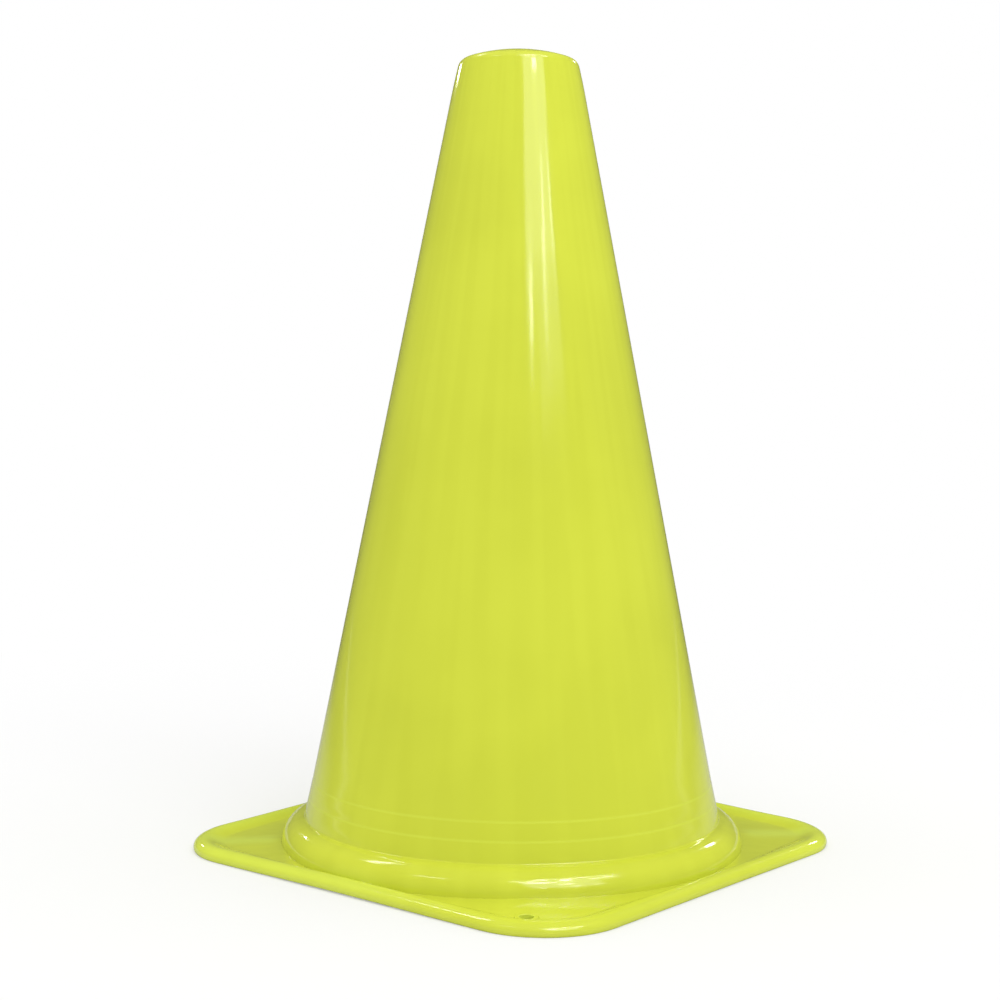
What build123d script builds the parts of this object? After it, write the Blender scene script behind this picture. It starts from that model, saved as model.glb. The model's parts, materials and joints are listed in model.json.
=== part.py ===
from build123d import *
import math
import os

# A sports marker cone: one thin plastic moulding, open underneath and closed at the top.
# The origin is the middle of the base at floor level, +Z is up, and the four sides of the
# base face X and Y. All sizes are millimetres and degrees.

# Cone
height = 305.0               # floor to the crown of the closed top
floor_radius = 82.3          # outside of the cone's side, carried straight down to the floor
top_radius = 22.2            # outside of the cone's side, carried straight up to the full height
wall = 1.6                   # thickness of the cone, its top and the collar
crown_rise = 4.0             # how far the top domes above the edge of the shoulder
shoulder_rounding = 5.0      # rounding between the domed top and the side

# Collar, a hollow quarter-round bead around the cone's foot
collar_round = 9.5           # radius of the bead
collar_tuck = 1.0            # how far the bead's crest lies inside the face of the cone
collar_centre_height = 3.0   # floor to the centre of the bead
crease_bevel = 0.6           # easing of the hollow corner where the cone runs into the collar

# Two moulded ring steps low on the cone
ring_above_collar = 7.1      # crest of the collar to the lower step
ring_spacing = 6.6           # lower step to the upper step
ring_step = 0.35             # how far each step widens the cone
ring_drop = 0.7              # how far down each step runs

# Base, a square plate with a rolled rim
side_margin = 7.5            # collar's foot to the outer face, at the middle of a side
corner_radius = 32.0         # rounding of the four corners
rim_height = 4.6             # floor to the crest of the rim
rim_roll = 3.0               # rounding from the crest down to the outer face
rim_hollow = 7.2             # outer face to where the rim has run down into the plate
rim_foot = 2.6               # width of the rim's foot on the floor
foot_bevel = 0.6             # bevel of the rim's outer lower edge
plate_edge_height = 2.45     # floor to the top of the plate, carried out over the rim's foot
plate_wall = 2.0             # thickness of the plate, at that same place
plate_slope = 1.7            # angle at which each quarter of the plate rises to the collar

# Eyelet, for a peg or a hook, in one corner
eyelet_radius = 2.5          # radius of the hole
eyelet_from_right = 24.2     # hole's axis to the outer face on the +X side
eyelet_from_front = 14.7     # hole's axis to the outer face on the -Y side
eyelet_land = 1.7            # width of the raised ring around the hole, at its foot
eyelet_rise = 0.5            # height of that ring above the plate
eyelet_flank = 45.0          # slope of the ring's outside

# How far a cutting shape runs past the face that it opens
overrun = 1.0


def side_radius(z, steps=0):
    """Outside radius of the cone at height z, below the given number of ring steps."""
    return floor_radius - taper * z + steps * ring_step


# Sizes that follow from those above
taper = (floor_radius - top_radius) / height
wall_across = wall * math.hypot(1.0, taper)
collar_crest_height = collar_centre_height + collar_round
lower_ring_height = collar_crest_height + ring_above_collar
upper_ring_height = lower_ring_height + ring_spacing
collar_centre_radius = side_radius(collar_crest_height, 2) - collar_tuck
collar_outer = collar_centre_radius + collar_round
collar_inner = collar_outer - wall
base_half = collar_outer + side_margin
tray_half = base_half - rim_foot
tray_radius = corner_radius - rim_foot
hip_half = (collar_outer - wall / 2) / math.sqrt(2)
plate_rise = math.tan(math.radians(plate_slope))


def collar_point(radius, angle):
    """Point at this angle up the bead, for a bead of this radius about the collar's centre."""
    return (collar_centre_radius + radius * math.cos(angle), collar_centre_height + radius * math.sin(angle))


def collar_meeting(radius, line_floor_radius):
    """Angle up a bead of this radius at which it meets a side line of the cone."""
    across = line_floor_radius - taper * collar_centre_height - collar_centre_radius
    lean = math.atan(taper)
    return math.acos(across * math.cos(lean) / radius) + lean


def dome_arc(edge, crown):
    """A shallow arc, level at the axis, from the crown out to the edge of the top."""
    return TangentArc((0, crown), edge, tangent=(1, 0))


def wall_section():
    """Half section of the cone, its closed top and the collar, to be turned about the axis."""
    bead_end = collar_meeting(collar_round, side_radius(0, 2))
    crease = collar_point(collar_round, bead_end)
    hollow_round = collar_round - wall
    hollow_end = collar_meeting(hollow_round, floor_radius - wall_across)
    shoulder_height = height - crown_rise
    shoulder = (side_radius(shoulder_height), shoulder_height)
    inner_shoulder_height = shoulder_height - wall
    inner_shoulder = (side_radius(inner_shoulder_height) - wall_across, inner_shoulder_height)
    flank = [shoulder]
    for steps, z in enumerate((upper_ring_height, lower_ring_height)):
        flank.append((side_radius(z, steps), z))
        flank.append((side_radius(z - ring_drop, steps + 1), z - ring_drop))
    flank.append(crease)
    outline = [
        dome_arc(shoulder, height),
        Polyline(flank),
        ThreePointArc(crease, collar_point(collar_round, bead_end / 2), collar_point(collar_round, 0)),
        Polyline(
            collar_point(collar_round, 0),
            (collar_outer, 0),
            (collar_inner, 0),
            collar_point(hollow_round, 0),
            collar_point(hollow_round, hollow_end / 2),
            collar_point(hollow_round, hollow_end),
            inner_shoulder,
        ),
        dome_arc(inner_shoulder, height - wall),
        Line((0, height - wall), (0, height)),
    ]
    section = make_face(outline)

    def corner(point):
        return section.vertices().sort_by_distance((*point, 0))[0]

    section = fillet(corner(shoulder), shoulder_rounding)
    section = chamfer(corner(inner_shoulder), (shoulder_rounding - wall) / 2)
    section = chamfer(corner(crease), crease_bevel)
    return section


def cone_wall():
    """The turned wall: closed top, tapered side, ring steps and hollow collar."""
    return revolve(Plane.XZ * wall_section(), Axis.Z)


def square(half, radius, z):
    """A square with rounded corners, lying level at height z."""
    return Pos(0, 0, z) * RectangleRounded(2 * half, 2 * half, radius)


def plate_roof():
    """The plate's top above its edge: four gently sloping quarters and four conical corners."""
    corner_centre = tray_half - tray_radius
    hip_rise = (tray_half - hip_half) * plate_rise
    quarters = extrude(Rectangle(2 * tray_half, 2 * tray_half), hip_rise, taper=90 - plate_slope)
    fan_section = Polyline((0, 0), (tray_radius, 0), (0, tray_radius * plate_rise), close=True)
    fan = revolve(Plane.XZ * make_face(fan_section), Axis.Z, 90)
    square_corner = Box(tray_half, tray_half, tray_half, align=Align.MIN)
    for turn in range(4):
        corner = Rot(0, 0, 90 * turn) * Pos(corner_centre, corner_centre, 0)
        quarters = quarters - corner * square_corner + corner * fan
    return Pos(0, 0, plate_edge_height) * quarters


def base_plate():
    """Square plate with its rolled rim, open in the middle where the collar stands."""
    block = extrude(square(base_half, corner_radius, 0), rim_height)
    block = fillet(block.faces().sort_by(Axis.Z)[-1].edges(), rim_roll)
    block = chamfer(block.faces().sort_by(Axis.Z)[0].edges(), foot_bevel)
    rise = rim_height - plate_edge_height
    run = rim_hollow - rim_roll
    floor = square(base_half - rim_hollow, corner_radius - rim_hollow, plate_edge_height)
    tray = extrude(floor, rise + overrun, taper=-math.degrees(math.atan2(run, rise)))
    mouth = Cylinder(collar_inner, 2 * rim_height + overrun)
    return block - (tray - plate_roof()) - mouth


def underside_relief():
    """What is hollowed out under the plate and the collar, so that the cone stands on its rim."""
    return extrude(square(tray_half, tray_radius, -overrun), overrun + plate_edge_height - plate_wall)


def eyelet(body):
    """Small through hole in a corner of the plate, with a low raised ring around it."""
    x = base_half - eyelet_from_right
    y = eyelet_from_front - base_half
    surface = plate_edge_height + (tray_half - max(abs(x), abs(y))) * plate_rise
    ring_top = surface + eyelet_rise
    ring_foot = surface - plate_wall / 2
    foot_radius = eyelet_radius + eyelet_land
    spread = math.tan(math.radians(90 - eyelet_flank))
    ring = Pos(x, y, (ring_top + ring_foot) / 2) * Cone(
        foot_radius + (surface - ring_foot) * spread,
        foot_radius - eyelet_rise * spread,
        ring_top - ring_foot,
    )
    hole = Pos(x, y, 0) * Cylinder(eyelet_radius, 2 * (ring_top + overrun))
    return body + ring - hole


def cone_body():
    """The whole moulding."""
    return eyelet(cone_wall() + base_plate() - underside_relief())


os.makedirs("parts", exist_ok=True)
export_step(cone_body(), "parts/cone_body.step")
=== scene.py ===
"""Sports marker cone: the finished moulding and a small studio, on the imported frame."""

import json
import math

import bmesh
import bpy
from bpy.props import FloatProperty, FloatVectorProperty, IntProperty, PointerProperty
from mathutils import Matrix, Quaternion, Vector


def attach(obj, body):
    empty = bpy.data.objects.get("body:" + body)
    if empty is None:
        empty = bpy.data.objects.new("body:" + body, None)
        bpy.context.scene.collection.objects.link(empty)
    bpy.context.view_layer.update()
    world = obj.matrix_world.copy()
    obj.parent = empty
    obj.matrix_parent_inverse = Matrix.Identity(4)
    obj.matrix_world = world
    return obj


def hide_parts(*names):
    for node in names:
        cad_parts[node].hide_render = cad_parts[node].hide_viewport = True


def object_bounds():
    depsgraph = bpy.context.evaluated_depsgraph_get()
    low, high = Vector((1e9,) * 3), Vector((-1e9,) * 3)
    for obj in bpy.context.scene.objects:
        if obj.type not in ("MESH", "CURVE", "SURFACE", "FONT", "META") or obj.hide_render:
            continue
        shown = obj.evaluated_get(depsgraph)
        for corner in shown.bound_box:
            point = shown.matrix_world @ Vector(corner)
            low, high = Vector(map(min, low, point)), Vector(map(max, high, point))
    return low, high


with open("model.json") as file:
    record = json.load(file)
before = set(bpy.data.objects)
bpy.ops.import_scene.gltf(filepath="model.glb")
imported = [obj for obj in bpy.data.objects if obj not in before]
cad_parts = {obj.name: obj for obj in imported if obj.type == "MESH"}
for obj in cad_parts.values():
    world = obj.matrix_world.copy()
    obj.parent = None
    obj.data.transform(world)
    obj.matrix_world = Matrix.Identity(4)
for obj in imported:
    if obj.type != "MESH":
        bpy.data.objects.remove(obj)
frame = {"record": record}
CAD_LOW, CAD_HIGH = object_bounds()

bl_info = {
    "name": "Sports Marker Cone",
    "version": (1, 0, 0),
    "blender": (4, 5, 0),
    "location": "View3D > Sidebar > Marker Cone",
    "description": "Builds a moulded plastic marker cone and a studio to show it in",
    "category": "Object",
}

MM = 0.001
EYELET = next(mount for mount in frame["record"]["mounts"] if mount["name"] == "eyelet")


def length(name, description, default):
    """A size in metres."""
    return FloatProperty(name=name, description=description, default=default, unit="LENGTH", precision=5)


def angle(name, description, degrees):
    """An angle, given here in degrees."""
    return FloatProperty(name=name, description=description, default=math.radians(degrees), subtype="ANGLE")


def share(name, description, default):
    """A plain number from 0 to 1."""
    return FloatProperty(
        name=name, description=description, default=default, min=0.0, max=1.0, subtype="FACTOR"
    )


def colour(name, description, default):
    """A linear colour."""
    return FloatVectorProperty(
        name=name, description=description, default=default, size=3, min=0.0, max=1.0, subtype="COLOR"
    )


class MarkerConeSizes(bpy.types.PropertyGroup):
    """Sizes of the moulding."""

    height: length("Height", "Floor to the crown of the closed top", CAD_HIGH.z - CAD_LOW.z)
    floor_radius: length("Floor radius", "Cone's side, carried straight down to the floor", 82.3 * MM)
    top_radius: length("Top radius", "Cone's side, carried straight up to the full height", 22.2 * MM)
    wall: length("Wall", "Thickness of the cone, its top and the collar", 1.6 * MM)
    crown_rise: length("Crown rise", "How far the top domes above its edge", 4.0 * MM)
    shoulder_rounding: length("Shoulder rounding", "Between the domed top and the side", 3.4 * MM)
    shoulder_ease: length("Shoulder ease", "How far the side is drawn in at the shoulder", 0.35 * MM)
    shoulder_run: length("Shoulder run", "How far below the shoulder that easing starts", 13.0 * MM)
    collar_round: length("Collar round", "Radius of the bead around the cone's foot", 9.5 * MM)
    collar_tuck: length("Collar tuck", "How far the bead's crest lies inside the cone's face", 0.6 * MM)
    collar_centre_height: length("Collar centre height", "Floor to the centre of the bead", 3.0 * MM)
    crease_rounding: length("Crease rounding", "Where the cone runs into the collar", 0.7 * MM)
    foot_rounding: length("Foot rounding", "Where the collar runs into the plate", 0.15 * MM)
    ring_above_collar: length("Ring above collar", "Collar's crest to the lower ring step", 7.75 * MM)
    ring_spacing: length("Ring spacing", "Lower ring step to the upper one", 6.6 * MM)
    ring_step: length("Ring step", "How far each step widens the cone", 0.15 * MM)
    ring_edge: length("Ring edge", "How much of that lies in the step's crisp edge", 0.05 * MM)
    ring_drop: length("Ring drop", "How far down the crisp edge runs", 0.5 * MM)
    ring_settle: length("Ring settle", "How far down the rest of the step runs", 5.5 * MM)
    base_side: length("Base side", "Outer face to outer face of the base", CAD_HIGH.x - CAD_LOW.x)
    corner_radius: length("Corner radius", "Rounding of the base's corners", 32.0 * MM)
    rim_height: length("Rim height", "Floor to the crest of the rim", 4.6 * MM)
    rim_crest: length("Rim crest", "Outer face to the crest of the rim", 4.2 * MM)
    rim_nose: length("Rim nose", "Floor to the rim's outermost line", 1.6 * MM)
    rim_tuck: length("Rim tuck", "How far the rim's foot lies inside its outer face", 0.7 * MM)
    rim_hollow: length("Rim hollow", "Outer face to the end of the rim's hollow, mid-side", 7.2 * MM)
    corner_hollow: length("Corner hollow", "The same, in the corners", 12.0 * MM)
    rim_foot: length("Rim foot", "Width of the rim's foot on the floor, with its tuck", 2.6 * MM)
    plate_edge_height: length("Plate edge height", "Floor to the plate's top, at its edge", 2.45 * MM)
    plate_wall: length("Plate wall", "Thickness of the plate, at that same place", 2.0 * MM)
    plate_slope: angle("Plate slope", "Angle at which the plate rises to the collar", 1.7)
    eyelet_radius: length("Eyelet radius", "Radius of the hole in one corner", EYELET["dims"]["r_mm"] * MM)
    eyelet_place: FloatVectorProperty(
        name="Eyelet place", description="Axis of the hole, from the middle of the base",
        default=EYELET["pos_m"][:2], size=2, unit="LENGTH", precision=5,
    )
    eyelet_land: length("Eyelet land", "Width of the raised ring around the hole", 1.7 * MM)
    eyelet_rise: length("Eyelet rise", "Height of that ring above the plate", 0.32 * MM)
    base_shift: FloatVectorProperty(
        name="Base shift", description="How far the trimmed base sits off the cone's axis",
        default=(1.00 * MM, 0.33 * MM), size=2, unit="LENGTH", precision=5,
    )
    side_bow: FloatVectorProperty(
        name="Side bow", description="How far the right, back, left and front sides lift at their middle",
        default=(0.1 * MM, 2.0 * MM, 1.6 * MM, 0.5 * MM), size=4, unit="LENGTH", precision=5,
    )
    columns: IntProperty(name="Columns", description="Faces around the moulding", default=320, min=64)


class MarkerConeFinish(bpy.types.PropertyGroup):
    """Colours, gloss and fine relief of the plastic, with painted highlights on its edges and painted shade
    low on the cone.
    """

    plastic: colour("Plastic", "Colour of the plastic", (0.637, 0.697, 0.059))
    # A darker colour, used for random clouds and flow lines in the plastic and for painted shade low on the
    # cone.
    deep: colour("Deep plastic", "Colour where the pigment lies a little thicker", (0.568, 0.622, 0.046))
    # Painted highlight: this lighter colour is painted on the rim, the plate's hips, the ring steps and the
    # eyelet, where light catches them.
    glow: colour("Edge glow", "Colour at edges, where the pigment lets light out", (0.650, 0.755, 0.088))
    speck: colour("Speck", "Colour of the few dark specks in the plastic", (0.14, 0.13, 0.02))
    gloss: share("Roughness", "Roughness of the clean moulded face", 0.085)
    dulling: share("Dulling", "How much handling adds to the roughness", 0.07)
    scuffing: share("Scuffing", "How much stacking adds to the roughness of the crown", 0.12)
    crown_fade: length("Crown fade", "Height over which that sets in", 2.0 * MM)
    streaking: share("Streaking", "How much the flow lines add to the roughness", 0.02)
    cloud_depth: share("Cloud depth", "How much soft clouds deepen the colour", 0.5)
    flow_depth: share("Flow depth", "How much the flow lines deepen it", 0.25)
    # Painted shade: the colour is drawn darker low on the cone and lighter towards the top, for how the
    # light falls on it.
    low_painted_shade: share("Low depth", "How much deeper it is low on the cone", 0.4)
    painted_shade_full: length("Deep full", "Height below which the pigment lies thickest", 120.0 * MM)
    painted_shade_end: length("Deep end", "Height above which it lies thinnest", 280.0 * MM)
    # Strength and reach of the painted highlights on the hips, rim, eyelet and ring steps, weaker on the
    # right.
    hip_painted_highlight: share("Hip glow", "How much the plate's hips glow", 0.85)
    hip_width: length("Hip width", "How far a hip's glow runs out to each side", 15.0 * MM)
    hip_start: length("Hip start", "How far beyond the collar that glow is full", 6.0 * MM)
    rim_painted_highlight: share("Rim glow", "How much the rim glows", 0.6)
    right_fade: share("Right fade", "How much weaker hips and rim glow on the right", 0.75)
    eyelet_painted_highlight: share("Eyelet glow", "How much the eyelet's edge glows", 0.6)
    eyelet_fade: length("Eyelet fade", "How far from the hole its glow ends", 0.6 * MM)
    ring_painted_highlight: share("Ring glow", "How much the ring steps glow", 0.24)
    ring_fade: length("Ring fade", "How far from a step its glow ends", 0.7 * MM)
    line_core: length("Line core", "How far from hole or step the glow is full", 0.2 * MM)
    flow_relief: length("Flow relief", "Height of the drawn flow lines", 0.045 * MM)
    fine_relief: length("Fine relief", "Height of the finer flow lines", 0.006 * MM)
    ripple_relief: length("Ripple relief", "Height of the ripple on the cone", 0.020 * MM)
    foot_relief: length("Foot relief", "How much higher the ripple is below the ring steps", 0.080 * MM)
    foot_fade: length("Foot fade", "Height over which that sets in", 6.0 * MM)
    sag_relief: length("Sag relief", "Height of the broader waves", 0.030 * MM)
    peel_relief: length("Peel relief", "Height of the finest grain", 0.0006 * MM)


class MarkerConeStudio(bpy.types.PropertyGroup):
    """Camera, light and floor."""

    camera_turn: angle("Camera turn", "Camera's place around the cone", 39.26)
    camera_distance: length("Camera distance", "Cone's axis to the camera, along the floor", 0.6873)
    camera_height: length("Camera height", "Floor to the camera", 0.1710)
    camera_pan: angle("Camera pan", "How far the camera looks past the axis", -0.47)
    camera_tilt: angle("Camera tilt", "How far the camera looks down", 3.07)
    camera_roll: angle("Camera roll", "How far the camera leans", 0.52)
    camera_lens: FloatProperty(
        name="Camera lens", description="Focal length on a 36 mm sensor", default=64.24,
        subtype="DISTANCE_CAMERA",
    )
    lamp_distance: length("Lamp distance", "Middle of the cone to each lamp", 3.0)
    fill: share("Fill", "Light that the white surroundings throw on the cone", 0.89)
    dome_tone: share("Dome tone", "Grey of the room that the plastic reflects", 0.12)
    dome_radius: length("Dome radius", "Radius of that room", 3.45)
    floor_colour: colour("Floor", "Colour of the floor", (0.80, 0.80, 0.80))
    floor_bounce: colour("Floor bounce", "Its colour in the light that it throws back", (0.72, 0.72, 0.72))
    floor_shine: colour("Floor shine", "Its colour in the plastic's reflections", (0.42, 0.42, 0.42))
    floor_radius: length("Floor radius", "Radius of the floor", 9.0)
    far_floor: share("Far floor", "How bright the far floor is in reflections, against the dome", 0.8)
    floor_near: length("Floor near", "How far out the floor starts to change", 0.15)
    floor_white: length("Floor white", "How far out the floor has melted into white", 0.6)
    floor_dim: length("Floor dim", "How far out the reflected floor has dimmed", 0.9)
    floor_melt: share("Floor melt", "How much of the white lies on the floor at the cone", 0.35)


def spread(start, end, steps):
    """Evenly spaced values, both ends included."""
    return [start + (end - start) * step / steps for step in range(steps + 1)]


def arc(centre, radius, start, end, steps):
    """Points of the section along a circular arc, both ends included."""
    return [
        (centre[0] + radius * math.cos(turn), centre[1] + radius * math.sin(turn))
        for turn in spread(start, end, steps)
    ]


def eased(t):
    """A smooth step from 0 to 1."""
    return t * t * (3.0 - 2.0 * t)


class Section:
    """Works out the moulding's section at any angle around the axis."""

    def __init__(self, sizes):
        self.sizes = sizes
        self.taper = (sizes.floor_radius - sizes.top_radius) / sizes.height
        self.lean = math.atan(self.taper)
        self.outward = Vector((math.cos(self.lean), math.sin(self.lean)))
        self.upward = Vector((-math.sin(self.lean), math.cos(self.lean)))
        crest = sizes.collar_centre_height + sizes.collar_round
        self.lower_ring = crest + sizes.ring_above_collar
        self.upper_ring = self.lower_ring + sizes.ring_spacing
        self.bead = Vector((self.side(crest, 2) - sizes.collar_tuck, sizes.collar_centre_height))
        self.collar_outer = self.bead.x + sizes.collar_round
        self.collar_inner = self.collar_outer - sizes.wall
        self.base_half = sizes.base_side / 2
        self.tray_half = self.base_half - sizes.rim_foot
        self.tray_radius = sizes.corner_radius - sizes.rim_foot
        self.plate_rise = math.tan(sizes.plate_slope)
        self.under = sizes.plate_edge_height - sizes.plate_wall
        edge = self.side(sizes.height - sizes.crown_rise)
        self.dome_radius = (edge ** 2 + sizes.crown_rise ** 2) / (2 * sizes.crown_rise)
        self.dome = Vector((0.0, sizes.height - self.dome_radius))
        # About where the shoulder's rounding runs out into the side
        self.shoulder_end = sizes.height - sizes.crown_rise - sizes.shoulder_rounding * 0.7

    def side(self, z, steps=0):
        """Outside radius of the cone at height z, below the given number of ring steps."""
        return self.sizes.floor_radius - self.taper * z + steps * self.sizes.ring_step

    def beside_side(self, line, other, distance):
        """Centre on a line along the cone's side, at a set distance from another centre."""
        start = self.outward * line - other
        along = start.dot(self.upward)
        reach = math.sqrt(along ** 2 - start.length_squared + distance ** 2)
        return other + start + self.upward * (reach - along)

    def top(self, inset):
        """Domed top and shoulder from the axis outwards, set in from the outer face."""
        radius = self.sizes.shoulder_rounding - inset
        dome_radius = self.dome_radius - inset
        line = self.sizes.floor_radius * math.cos(self.lean) - self.sizes.shoulder_rounding
        centre = self.beside_side(line, self.dome, dome_radius - radius)
        turn = math.atan2(centre.y - self.dome.y, centre.x - self.dome.x)
        dome = arc(self.dome, dome_radius, math.pi / 2, turn, 10)
        return dome + arc(centre, radius, turn, self.lean, 10)[1:]

    def drawn_in(self, radius, z):
        """A point of the side or top, drawn in a little near the shoulder."""
        sizes = self.sizes
        shoulder = sizes.height - sizes.crown_rise
        t = min(max((z - shoulder + sizes.shoulder_run) / sizes.shoulder_run, 0.0), 1.0)
        return (radius * (1.0 - sizes.shoulder_ease * t * t / self.side(shoulder)), z)

    def ring(self, depth):
        """How far a ring step has widened the cone at a depth: a crisp edge, then a slow spread."""
        sizes = self.sizes
        edge = sizes.ring_edge * eased(min(depth / sizes.ring_drop, 1.0))
        return edge + (sizes.ring_step - sizes.ring_edge) * eased(depth / sizes.ring_settle)

    def flank(self, start):
        """The tapered side from a height down through both ring steps."""
        sizes = self.sizes
        ease = sizes.height - sizes.crown_rise - sizes.shoulder_run
        straight = spread(start, ease, 10)[1:] + spread(ease, self.upper_ring, 34)[1:-1]
        points = [(self.side(z), z) for z in straight]
        depths = spread(0.0, sizes.ring_drop, 6) + spread(sizes.ring_drop, sizes.ring_settle, 8)[1:]
        for steps, z in enumerate((self.upper_ring, self.lower_ring)):
            points += [(self.side(z - depth, steps) + self.ring(depth), z - depth) for depth in depths]
        return points

    def crease(self):
        """Centre of the hollow rounding between the cone and the collar."""
        sizes = self.sizes
        line = (sizes.floor_radius + 2 * sizes.ring_step) * math.cos(self.lean) + sizes.crease_rounding
        return self.beside_side(line, self.bead, sizes.collar_round + sizes.crease_rounding)

    def turned(self):
        """What is the same all round: top, side, ring steps and the crease above the collar."""
        top = self.top(0.0)
        centre = self.crease()
        down = self.bead - centre
        end = math.atan2(down.y, down.x) + 2 * math.pi
        hollow = arc(centre, self.sizes.crease_rounding, math.pi + self.lean, end, 8)
        flank = self.flank(top[-1][1])
        run = spread(flank[-1][1], hollow[0][1], 4)[1:-1]
        points = top + flank + [(self.side(z, 2), z) for z in run] + hollow
        return [self.drawn_in(radius, z) for radius, z in points]

    def plate_height(self, radius, turn):
        """Top of the plate: four gently sloping quarters and four conical corners."""
        x, y = radius * abs(math.cos(turn)), radius * abs(math.sin(turn))
        corner = self.tray_half - self.tray_radius
        inwards = self.tray_half - max(x, y)
        if min(x, y) > corner:
            inwards = self.tray_radius - math.hypot(x - corner, y - corner)
        return self.sizes.plate_edge_height + inwards * self.plate_rise

    def outline(self, inset, turn):
        """Distance from the axis to the base's outline, set in by this much."""
        x, y = abs(math.cos(turn)), abs(math.sin(turn))
        half = self.base_half - inset
        radius = self.sizes.corner_radius - inset
        corner = half - radius
        reach = half / max(x, y)
        if reach * min(x, y) <= corner:
            return reach
        along = corner * (x + y)
        return along + math.sqrt(along ** 2 - 2 * corner ** 2 + radius ** 2)

    def collar(self, turn):
        """The bead from the crease down to the rounding at its foot, which follows the plate."""
        sizes = self.sizes
        foot = sizes.foot_rounding
        surface = self.plate_height(self.collar_outer + foot, turn)
        reach = sizes.collar_round + foot
        low = math.asin((surface + foot - self.bead.y) / reach)
        across = self.bead.x + reach * math.cos(low)
        up = self.crease() - self.bead
        bead = arc(self.bead, sizes.collar_round, math.atan2(up.y, up.x), low, 18)[1:]
        return bead + arc((across, surface + foot), foot, low + math.pi, 1.5 * math.pi, 6)[1:]

    def rim(self, turn):
        """The rolled rim from the plate over its crest to the floor, as (set in, height)."""
        sizes = self.sizes
        thick = sizes.rim_foot
        hollow = sizes.rim_hollow + (sizes.corner_hollow - sizes.rim_hollow) * math.sin(2 * turn) ** 2
        low = sizes.plate_edge_height + (hollow - thick) * self.plate_rise
        rise = sizes.rim_height - sizes.rim_nose
        points = []
        for t in spread(0.0, 1.0, 14):
            inset = hollow + (sizes.rim_crest - hollow) * t
            points.append((inset, low + (sizes.rim_height - low) * eased(t)))
        for swing in spread(math.pi / 2, 0.0, 14)[1:]:
            inset = sizes.rim_crest * (1.0 - math.cos(swing))
            points.append((inset, sizes.rim_nose + rise * math.sin(swing)))
        for swing in spread(0.0, math.pi / 2, 8)[1:]:
            inset = sizes.rim_tuck * (1.0 - math.cos(swing))
            points.append((inset, sizes.rim_nose * (1.0 - math.sin(swing))))
        return points + [(thick, 0.0)]

    def inside(self):
        """The hollow from the collar's inner foot up to the underside of the top."""
        sizes = self.sizes
        radius = sizes.collar_round - sizes.wall
        line = sizes.floor_radius * math.cos(self.lean) - sizes.wall
        floor_radius = line / math.cos(self.lean)
        across = floor_radius - self.taper * self.bead.y - self.bead.x
        end = math.acos(across * math.cos(self.lean) / radius) + self.lean
        hollow = [(self.collar_inner, self.under)] + arc(self.bead, radius, 0.0, end, 8)
        top = self.top(sizes.wall)[::-1]
        run = spread(hollow[-1][1], top[0][1], 14)[1:-1]
        return hollow + [(floor_radius - self.taper * z, z) for z in run] + top

    def column(self, turn, turned, inside):
        """The whole section at one angle, from the crown round to the inner crown.

        Each point is (radius, height, share of the base's shift).
        """
        rim = self.rim(turn)
        points = [(radius, z, 0.0) for radius, z in turned + self.collar(turn)]
        start, end = points[-1][0], self.outline(rim[0][0], turn)
        for t in spread(0.0, 1.0, 16)[1:-1]:
            radius = start + (end - start) * t
            points.append((radius, self.plate_height(radius, turn), t))
        points += [(self.outline(inset, turn), z, 1.0) for inset, z in rim]
        edge = self.outline(self.sizes.rim_foot, turn)
        for t in spread(0.0, 1.0, 6)[:-1]:
            points.append((edge + (self.collar_inner - edge) * t, self.under, 1.0 - t))
        return points + [(radius, z, 0.0) for radius, z in inside]


def mesh_from_columns(name, columns):
    """A closed mesh from columns of points that all start and end on the axis."""
    count, rows = len(columns), len(columns[0]) - 2
    points = [columns[0][0], columns[0][-1]]
    for column in columns:
        points += column[1:-1]
    faces = []
    for here in range(count):
        a, b = 2 + here * rows, 2 + (here + 1) % count * rows
        faces.append((0, a, b))
        faces += [(a + row, a + row + 1, b + row + 1, b + row) for row in range(rows - 1)]
        faces.append((1, b + rows - 1, a + rows - 1))
    mesh = bpy.data.meshes.new(name)
    mesh.from_pydata(points, [], faces)
    work = bmesh.new()
    work.from_mesh(mesh)
    bmesh.ops.recalc_face_normals(work, faces=work.faces)
    work.to_mesh(mesh)
    work.free()
    return mesh


def mesh_from_fan(name, columns):
    """An open mesh from columns of points that all start on the axis."""
    count, rows = len(columns), len(columns[0]) - 1
    points = [columns[0][0]] + [point for column in columns for point in column[1:]]
    faces = []
    for here in range(count):
        a, b = 1 + here * rows, 1 + (here + 1) % count * rows
        faces.append((0, a, b))
        faces += [(a + row, a + row + 1, b + row + 1, b + row) for row in range(rows - 1)]
    mesh = bpy.data.meshes.new(name)
    mesh.from_pydata(points, [], faces)
    return mesh


def new_object(name, data):
    """An object in the scene's own collection."""
    made = bpy.data.objects.new(name, data)
    bpy.context.scene.collection.objects.link(made)
    return made


def turned_tool(name, section, place, count):
    """A small turned solid, standing upright at a place, for joining to or cutting from the moulding."""
    columns = []
    for step in range(count):
        turn = 2 * math.pi * step / count
        columns.append([
            (place[0] + radius * math.cos(turn), place[1] + radius * math.sin(turn), z)
            for radius, z in section
        ])
    return new_object(name, mesh_from_columns(name, columns))


def apply_tools(piece, tools):
    """Joins or cuts small solids and keeps the result as the piece's own mesh."""
    for tool, operation in tools:
        step = piece.modifiers.new(tool.name, "BOOLEAN")
        step.object, step.operation, step.solver = tool, operation, "EXACT"
    graph = bpy.context.evaluated_depsgraph_get()
    finished = bpy.data.meshes.new_from_object(piece.evaluated_get(graph))
    old = piece.data
    piece.modifiers.clear()
    piece.data = finished
    finished.name = piece.name
    bpy.data.meshes.remove(old)
    for tool, _ in tools:
        mesh = tool.data
        bpy.data.objects.remove(tool)
        bpy.data.meshes.remove(mesh)


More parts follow.
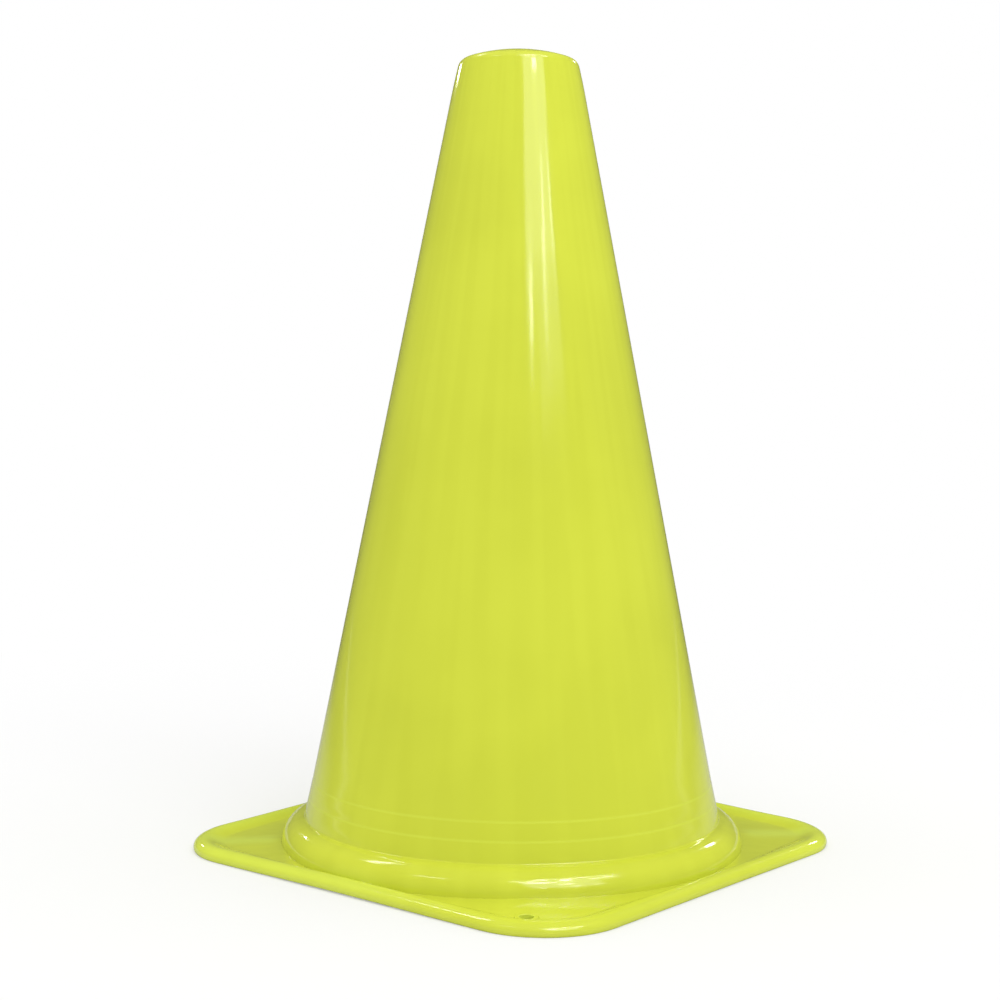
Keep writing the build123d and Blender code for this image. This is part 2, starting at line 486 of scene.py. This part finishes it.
def eyelet_tools(section):
    """The raised ring around the hole, and the hole itself with eased edges."""
    sizes = section.sizes
    place = Vector(sizes.eyelet_place) + Vector(sizes.base_shift)
    turn = math.atan2(sizes.eyelet_place[1], sizes.eyelet_place[0])
    surface = section.plate_height(math.hypot(*sizes.eyelet_place), turn)
    crest, hole = surface + sizes.eyelet_rise, sizes.eyelet_radius
    edge = hole + sizes.eyelet_land
    # Roundings go with the ring's height, and its outside leans by the slant, in radians
    rounding, ease = sizes.eyelet_rise * 0.5, sizes.eyelet_rise * 0.4
    slant = 0.2
    sunk = surface - sizes.plate_wall / 2
    brow = (edge - 2 * rounding, crest - rounding)
    foot = (edge + rounding, surface + 1.9 * rounding)
    flank = arc(brow, rounding, math.pi / 2, slant, 6)
    flank += arc(foot, 2 * rounding, math.pi + slant, 1.5 * math.pi, 6)
    ring = [(0.0, crest)] + flank + [(flank[-1][0], sunk), (0.0, sunk)]
    bottom = section.under
    bore = arc((hole + ease, crest - ease), ease, math.pi / 2, math.pi, 5)
    bore += arc((hole + ease, bottom + ease), ease, math.pi, 1.5 * math.pi, 5)
    clear = sizes.plate_wall
    bore = [(0.0, crest + clear), (bore[0][0], crest + clear)] + bore
    bore += [(bore[-1][0], bottom - clear), (0.0, bottom - clear)]
    return [
        (turned_tool("eyelet_ring", ring, place, 48), "UNION"),
        (turned_tool("eyelet_bore", bore, place, 48), "DIFFERENCE"),
    ]


class Value:
    """A shader socket that Python sums can use: each one adds a Math node."""

    def __init__(self, graph, socket):
        self.graph, self.socket = graph, socket

    def math(self, operation, *values):
        """A Math node of this operation on these values."""
        return self.graph.add("ShaderNodeMath", {"operation": operation}, dict(enumerate(values)))

    def __add__(self, other):
        return self.math("ADD", self, other)

    def __radd__(self, other):
        return self.math("ADD", other, self)

    def __sub__(self, other):
        return self.math("SUBTRACT", self, other)

    def __rsub__(self, other):
        return self.math("SUBTRACT", other, self)

    def __mul__(self, other):
        return self.math("MULTIPLY", self, other)

    def __rmul__(self, other):
        return self.math("MULTIPLY", other, self)

    def __gt__(self, other):
        return self.math("GREATER_THAN", self, other)

    def __lt__(self, other):
        return self.math("LESS_THAN", self, other)

    def __abs__(self):
        return self.math("ABSOLUTE", self)

    def highest(self, other):
        """The greater of two values."""
        return self.math("MAXIMUM", self, other)

    def lowest(self, other):
        """The lesser of two values."""
        return self.math("MINIMUM", self, other)

    def ramp(self, low, high):
        """A smooth mask: 0 below low, 1 above high."""
        return self.graph.add(
            "ShaderNodeMapRange", {"interpolation_type": "SMOOTHSTEP"},
            {"Value": self, "From Min": low, "From Max": high},
        )


class Graph:
    """The nodes of one material, lamp or world, added from Python expressions."""

    def __init__(self, owner):
        owner.use_nodes = True
        self.tree = owner.node_tree
        self.tree.nodes.clear()

    def add(self, kind, settings=None, sockets=None, output=0):
        """A node of any type: its settings first, then its sockets' values or links."""
        node = self.tree.nodes.new(kind)
        for name, value in (settings or {}).items():
            setattr(node, name, value)
        for name, value in (sockets or {}).items():
            if isinstance(value, Value):
                self.tree.links.new(value.socket, node.inputs[name])
            else:
                node.inputs[name].default_value = value
        return Value(self, node.outputs[output]) if len(node.outputs) else None

    def mix(self, factor, first, second):
        """One colour into another."""
        return self.add("ShaderNodeMix", {"data_type": "RGBA"}, {0: factor, 6: first, 7: second}, 2)

    def vector(self, operation, *values):
        """A Vector Math node of this operation."""
        return self.add("ShaderNodeVectorMath", {"operation": operation}, dict(enumerate(values)))

    def parts(self, vector):
        """The three parts of a vector."""
        return [self.add("ShaderNodeSeparateXYZ", None, {0: vector}, part) for part in "XYZ"]

    def distance(self, x, y):
        """Length of a step of x and y."""
        across = self.add("ShaderNodeCombineXYZ", None, {"X": x, "Y": y})
        return self.add("ShaderNodeVectorMath", {"operation": "LENGTH"}, {0: across}, "Value")

    def noise(self, place, scale, detail=2.0):
        """Soft noise, about 0.5."""
        return self.add("ShaderNodeTexNoise", None, {"Vector": place, "Scale": scale, "Detail": detail})

    def ray(self, kind):
        """1 for rays of this kind."""
        return self.add("ShaderNodeLightPath", None, None, kind)

    def shown(self):
        """1 for what the camera sees directly or through something clear."""
        return self.ray("Is Camera Ray").highest(self.ray("Is Transmission Ray"))


def opaque(rgb):
    """A colour with full alpha."""
    return (*rgb, 1.0)


def painted_highlight_mask(graph, finish, section, x, y, z):
    """Mask of the painted highlights: on the rim, the plate's hips, the ring steps and the eyelet, weaker
    towards the right.
    """
    sizes = section.sizes
    x, y = x - sizes.base_shift[0], y - sizes.base_shift[1]
    hole = graph.distance(x - sizes.eyelet_place[0], y - sizes.eyelet_place[1])
    from_hole = hole - sizes.eyelet_radius
    eyelet = 1.0 - from_hole.ramp(finish.line_core, finish.eyelet_fade)
    corner = section.base_half - sizes.corner_radius
    dx, dy = abs(x) - corner, abs(y) - corner
    past_corner = graph.distance(dx.highest(0.0), dy.highest(0.0))
    inwards = sizes.corner_radius - past_corner - dx.highest(dy).lowest(0.0)
    rim = 1.0 - inwards.ramp(sizes.rim_crest, 0.8 * sizes.corner_hollow)
    from_collar = graph.distance(x, y) - section.collar_outer
    beyond = from_collar.ramp(0.0, finish.hip_start)
    hip = (1.0 - abs(dx - dy).ramp(0.0, finish.hip_width)) * beyond
    right = (x - 0.4 * y).ramp(0.4 * section.base_half, section.base_half)
    # Painted highlights are made weaker on the right side.
    mask = (hip * finish.hip_painted_highlight).highest(rim * finish.rim_painted_highlight) * (1.0 - finish.right_fade * right)
    mask = mask.highest(eyelet * finish.eyelet_painted_highlight)
    for ring in (section.lower_ring, section.upper_ring):
        middle = ring - sizes.ring_drop / 2
        line = 1.0 - abs(z - middle).ramp(finish.line_core, finish.ring_fade)
        mask = mask.highest(line * finish.ring_painted_highlight)
    return mask


def drawn_out(graph, place):
    """The place on the cone, drawn out up and down as the plastic flowed."""
    around = graph.vector("NORMALIZE", graph.vector("MULTIPLY", place, (1.0, 1.0, 0.0)))
    along = graph.vector("MULTIPLY", place, (0.0, 0.0, 1.1))
    return graph.vector("ADD", around, along)


def speck_mask(graph, place):
    """1 in the few specks, which lie in the middle of some cells of a net."""
    cells = {"Vector": place, "Scale": 46.0}
    distance = graph.add("ShaderNodeTexVoronoi", None, cells, "Distance")
    tint = graph.add("ShaderNodeTexVoronoi", None, cells, "Color")
    pick = graph.add("ShaderNodeSeparateColor", None, {0: tint})
    return (distance < 0.014) * (pick > 0.72)


def moulded_plastic(finish, section):
    """Glossy through-coloured plastic: drawn flow lines, a slight ripple, handling, a few specks, painted
    highlights on the edges and painted shade low on the cone.
    """
    material = bpy.data.materials.new("moulded_plastic")
    graph = Graph(material)
    place = graph.add("ShaderNodeTexCoord", None, None, "Object")
    x, y, z = graph.parts(place)
    drawn = drawn_out(graph, place)
    flow = graph.noise(drawn, 9.0, 1.0)
    fine_flow = graph.noise(drawn, 34.0, 1.0)
    ripple = graph.noise(place, 130.0, 1.0)
    sag = graph.noise(place, 38.0, 1.0)
    peel = graph.noise(place, 900.0, 1.0)
    cloud = graph.noise(place, 14.0, 3.0)
    foot = 1.0 - z.ramp(section.lower_ring - finish.foot_fade, section.lower_ring)
    height = flow * finish.flow_relief + fine_flow * finish.fine_relief
    height = height + ripple * (finish.ripple_relief + finish.foot_relief * foot)
    height = height + sag * finish.sag_relief + peel * finish.peel_relief
    normal = graph.add("ShaderNodeBump", None, {"Strength": 1.0, "Distance": 1.0, "Height": height})
    # Painted shade: darker low on the cone, lighter towards the top.
    darker = 1.0 - z.ramp(finish.painted_shade_full, finish.painted_shade_end)
    depth = cloud.ramp(0.38, 0.66) * finish.cloud_depth + flow.ramp(0.35, 0.65) * finish.flow_depth
    depth = depth + darker * finish.low_painted_shade
    # Painted highlights on the rim, the plate's hips, the ring steps and the eyelet.
    painted_highlights = painted_highlight_mask(graph, finish, section, x, y, z)
    base = graph.mix(depth, opaque(finish.plastic), opaque(finish.deep))
    base = graph.mix(painted_highlights, base, opaque(finish.glow))
    base = graph.mix(speck_mask(graph, place), base, opaque(finish.speck))
    handled = cloud.ramp(0.45, 0.75)
    crown = z.ramp(section.shoulder_end, section.shoulder_end + finish.crown_fade)
    rough = finish.gloss + finish.dulling * handled + finish.streaking * fine_flow
    rough = rough + finish.scuffing * crown
    shader = graph.add("ShaderNodeBsdfPrincipled", None, {
        "Base Color": base, "Roughness": rough, "Normal": normal, "IOR": 1.5,
    })
    graph.add("ShaderNodeOutputMaterial", None, {"Surface": shader})
    return material


def white_floor(studio):
    """A pale floor that keeps the shadow near the cone and melts into the white surroundings."""
    material = bpy.data.materials.new("white_floor")
    graph = Graph(material)
    place = graph.add("ShaderNodeTexCoord", None, None, "Object")
    reach = graph.add("ShaderNodeVectorMath", {"operation": "LENGTH"}, {0: place}, "Value")
    shown = graph.shown()
    room = [studio.far_floor * studio.dome_tone] * 3
    dimmed = reach.ramp(studio.floor_near, studio.floor_dim)
    shine = graph.mix(dimmed, opaque(studio.floor_shine), opaque(room))
    tone = graph.mix(graph.ray("Is Glossy Ray"), opaque(studio.floor_bounce), shine)
    tone = graph.mix(shown, tone, opaque(studio.floor_colour))
    matt = graph.add("ShaderNodeBsdfDiffuse", None, {"Color": tone})
    white = graph.add("ShaderNodeEmission", None, {"Color": (1.0, 1.0, 1.0, 1.0), "Strength": 1.0})
    further = reach.ramp(studio.floor_near, studio.floor_white)
    melted = shown * (studio.floor_melt + (1.0 - studio.floor_melt) * further)
    surface = graph.add("ShaderNodeMixShader", None, {0: melted, 1: matt, 2: white})
    graph.add("ShaderNodeOutputMaterial", None, {"Surface": surface})
    return material


LAMPS = (
    # name, turn from the camera, height angle, width, height, lean (degrees), brightness (1 is white), use
    ("ceiling", 20.0, 78.0, 66.0, 66.0, 0.0, 0.75, "light"),
    ("side_left", -95.0, 12.0, 45.0, 30.0, 0.0, 0.45, "light"),
    ("side_right", 95.0, 12.0, 45.0, 30.0, 0.0, 0.45, "light"),
    ("panel", 29.0, 38.0, 33.0, 22.0, 0.0, 3.0, "both"),
    ("panel_low", 35.0, 24.5, 22.0, 6.0, 0.0, 1.3, "shine"),
    ("overhead", 35.5, 55.0, 40.0, 15.0, 0.0, 14.0, "patchy"),
    ("streak_top", 30.5, 38.6, 5.5, 3.4, 0.0, 15.0, "shine"),
    ("streak_left", 16.0, 25.7, 2.6, 2.4, 0.0, 15.0, "shine"),
    ("streak_middle", 33.0, 27.5, 2.6, 6.5, -25.0, 7.0, "shine"),
    ("streak_right", 45.0, 28.4, 2.2, 2.7, 0.0, 7.0, "shine"),
    ("tube_back_left", -124.0, 53.0, 15.0, 4.0, -30.0, 12.0, "shine"),
    ("tube_front_left", -51.0, 49.5, 13.0, 3.0, 20.0, 6.5, "shine"),
    ("back_left", -146.0, 20.3, 3.5, 1.6, 0.0, 30.0, "shine"),
    ("back_right", 146.0, 25.5, 4.0, 3.5, 0.0, 30.0, "shine"),
)


def add_lamp(studio, name, turn, rise, width, height, lean, brightness, use):
    """A flat rectangular lamp that faces the cone.

    Its use is light for what only lights the cone, shine for what only shows in its gloss, patchy for
    the same in patches, and both for light that shows too.
    """
    heading = studio.camera_turn + math.radians(turn)
    rise = math.radians(rise)
    towards = Vector((
        math.sin(heading) * math.cos(rise), -math.cos(heading) * math.cos(rise), math.sin(rise),
    ))
    data = bpy.data.lights.new("lamp_" + name, "AREA")
    data.shape = "RECTANGLE"
    data.size = 2 * studio.lamp_distance * math.tan(math.radians(width) / 2)
    data.size_y = 2 * studio.lamp_distance * math.tan(math.radians(height) / 2)
    data.energy = brightness * math.pi * data.size * data.size_y
    lamp = new_object("lamp_" + name, data)
    facing = (-towards).to_track_quat("-Z", "Y") @ Quaternion((0.0, 0.0, 1.0), math.radians(lean))
    lamp.location = Vector((0.0, 0.0, CAD_HIGH.z / 2)) + towards * studio.lamp_distance
    lamp.rotation_euler = facing.to_euler()
    lamp.visible_camera = False
    lamp.visible_diffuse = use in ("light", "both")
    lamp.visible_glossy = use != "light"
    if use == "patchy":
        graph = Graph(data)
        place = graph.add("ShaderNodeNewGeometry", None, None, "Position")
        patches = graph.noise(place, 4.2, 2.0).ramp(0.48, 0.62)
        dark, bright = 0.06, 2.0
        shine = graph.add("ShaderNodeEmission", None, {"Strength": dark + bright * patches})
        graph.add("ShaderNodeOutputLight", None, {"Surface": shine})


def add_dome(studio):
    """A dim dome behind the lamps, seen only in reflections, that keeps the plastic's colour deep."""
    radius, count, rings = studio.dome_radius, 96, 24
    edge = math.radians(89.0)
    columns = []
    for step in range(count):
        turn = 2 * math.pi * step / count
        column = []
        for fall in spread(0.0, edge, rings):
            reach = radius * math.sin(fall)
            column.append((reach * math.cos(turn), reach * math.sin(turn), radius * math.cos(fall)))
        columns.append(column)
    mesh = mesh_from_fan("dome", columns)
    material = bpy.data.materials.new("dim_room")
    graph = Graph(material)
    tone = studio.dome_tone
    dim = graph.add("ShaderNodeEmission", None, {"Color": (tone, tone, tone, 1.0), "Strength": 1.0})
    graph.add("ShaderNodeOutputMaterial", None, {"Surface": dim})
    mesh.materials.append(material)
    dome = new_object("dome", mesh)
    dome.visible_camera = dome.visible_diffuse = dome.visible_shadow = False


def add_camera(studio):
    """The camera, at the photograph's place and angle."""
    data = bpy.data.cameras.new("camera")
    data.sensor_width = 36.0
    data.lens = studio.camera_lens
    camera = new_object("camera", data)
    turn = studio.camera_turn
    heading = turn - studio.camera_pan
    tilt = studio.camera_tilt
    forward = Vector((
        -math.sin(heading) * math.cos(tilt), math.cos(heading) * math.cos(tilt), -math.sin(tilt),
    ))
    level = forward.cross(Vector((0.0, 0.0, 1.0))).normalized()
    above = level.cross(forward)
    roll = studio.camera_roll
    right = level * math.cos(roll) + above * math.sin(roll)
    up = above * math.cos(roll) - level * math.sin(roll)
    place = Vector((
        math.sin(turn) * studio.camera_distance,
        -math.cos(turn) * studio.camera_distance,
        studio.camera_height,
    ))
    axes = Matrix((right, up, -forward)).transposed()
    camera.matrix_world = Matrix.Translation(place) @ axes.to_4x4()
    bpy.context.scene.camera = camera


def add_floor(studio):
    """A round floor with a few rings of faces."""
    rings, count = (0.0, 0.4, 1.2, 3.0, studio.floor_radius), 96
    columns = []
    for step in range(count):
        turn = 2 * math.pi * step / count
        columns.append([(reach * math.cos(turn), reach * math.sin(turn), 0.0) for reach in rings])
    mesh = mesh_from_fan("floor", columns)
    mesh.materials.append(white_floor(studio))
    new_object("floor", mesh)


def add_surroundings(studio):
    """White all round for the camera, and a softer white as light.

    The dome hides most of it from reflections.
    """
    world = bpy.data.worlds.new("surroundings")
    graph = Graph(world)
    shown, glossy = graph.shown(), graph.ray("Is Glossy Ray")
    strength = studio.fill + (1.0 - studio.fill) * shown.highest(glossy)
    white = graph.add("ShaderNodeBackground", None, {"Color": (1.0, 1.0, 1.0, 1.0), "Strength": strength})
    graph.add("ShaderNodeOutputWorld", None, {"Surface": white})
    bpy.context.scene.world = world


class MARKERCONE_OT_moulding(bpy.types.Operator):
    """Makes the cone: one closed, hollow plastic moulding with its eyelet"""

    bl_idname = "marker_cone.moulding"
    bl_label = "Make the moulding"

    def execute(self, context):
        sizes = context.scene.marker_cone_sizes
        section = Section(sizes)
        turned, inside = section.turned(), section.inside()
        columns = []
        for step in range(sizes.columns):
            turn = 2 * math.pi * step / sizes.columns
            bow = sizes.side_bow[round(turn / (math.pi / 2)) % 4] * math.cos(2 * turn) ** 2
            columns.append([
                (
                    radius * math.cos(turn) + sizes.base_shift[0] * shift,
                    radius * math.sin(turn) + sizes.base_shift[1] * shift,
                    z + bow * shift,
                )
                for radius, z, shift in section.column(turn, turned, inside)
            ])
        piece = new_object("marker_cone", mesh_from_columns("marker_cone", columns))
        apply_tools(piece, eyelet_tools(section))
        piece.data.shade_smooth()
        piece.data.set_sharp_from_angle(angle=math.radians(40.0))
        piece.data.materials.clear()
        piece.data.materials.append(moulded_plastic(context.scene.marker_cone_finish, section))
        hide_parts("cone_body")
        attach(piece, "root")
        return {"FINISHED"}


class MARKERCONE_OT_studio(bpy.types.Operator):
    """Makes the floor, the white surroundings, the lamps and the camera"""

    bl_idname = "marker_cone.studio"
    bl_label = "Make the studio"

    def execute(self, context):
        studio = context.scene.marker_cone_studio
        add_floor(studio)
        add_surroundings(studio)
        add_dome(studio)
        for lamp in LAMPS:
            add_lamp(studio, *lamp)
        add_camera(studio)
        context.scene.view_settings.view_transform = "Standard"
        return {"FINISHED"}


class MARKERCONE_PT_sidebar(bpy.types.Panel):
    """Sizes, finish and studio of the marker cone"""

    bl_idname = "MARKERCONE_PT_sidebar"
    bl_label = "Marker Cone"
    bl_space_type = "VIEW_3D"
    bl_region_type = "UI"
    bl_category = "Marker Cone"

    def draw(self, context):
        for settings, operator in (
            (context.scene.marker_cone_sizes, None),
            (context.scene.marker_cone_finish, MARKERCONE_OT_moulding),
            (context.scene.marker_cone_studio, MARKERCONE_OT_studio),
        ):
            box = self.layout.box()
            for name in settings.__annotations__:
                box.prop(settings, name)
            if operator:
                box.operator(operator.bl_idname)


CLASSES = (
    MarkerConeSizes,
    MarkerConeFinish,
    MarkerConeStudio,
    MARKERCONE_OT_moulding,
    MARKERCONE_OT_studio,
    MARKERCONE_PT_sidebar,
)


def register():
    for kind in CLASSES:
        bpy.utils.register_class(kind)
    bpy.types.Scene.marker_cone_sizes = PointerProperty(type=MarkerConeSizes)
    bpy.types.Scene.marker_cone_finish = PointerProperty(type=MarkerConeFinish)
    bpy.types.Scene.marker_cone_studio = PointerProperty(type=MarkerConeStudio)


def unregister():
    del bpy.types.Scene.marker_cone_studio
    del bpy.types.Scene.marker_cone_finish
    del bpy.types.Scene.marker_cone_sizes
    for kind in reversed(CLASSES):
        bpy.utils.unregister_class(kind)


def main():
    register()
    bpy.ops.marker_cone.moulding()
    bpy.ops.marker_cone.studio()


if __name__ == "__main__":
    main()
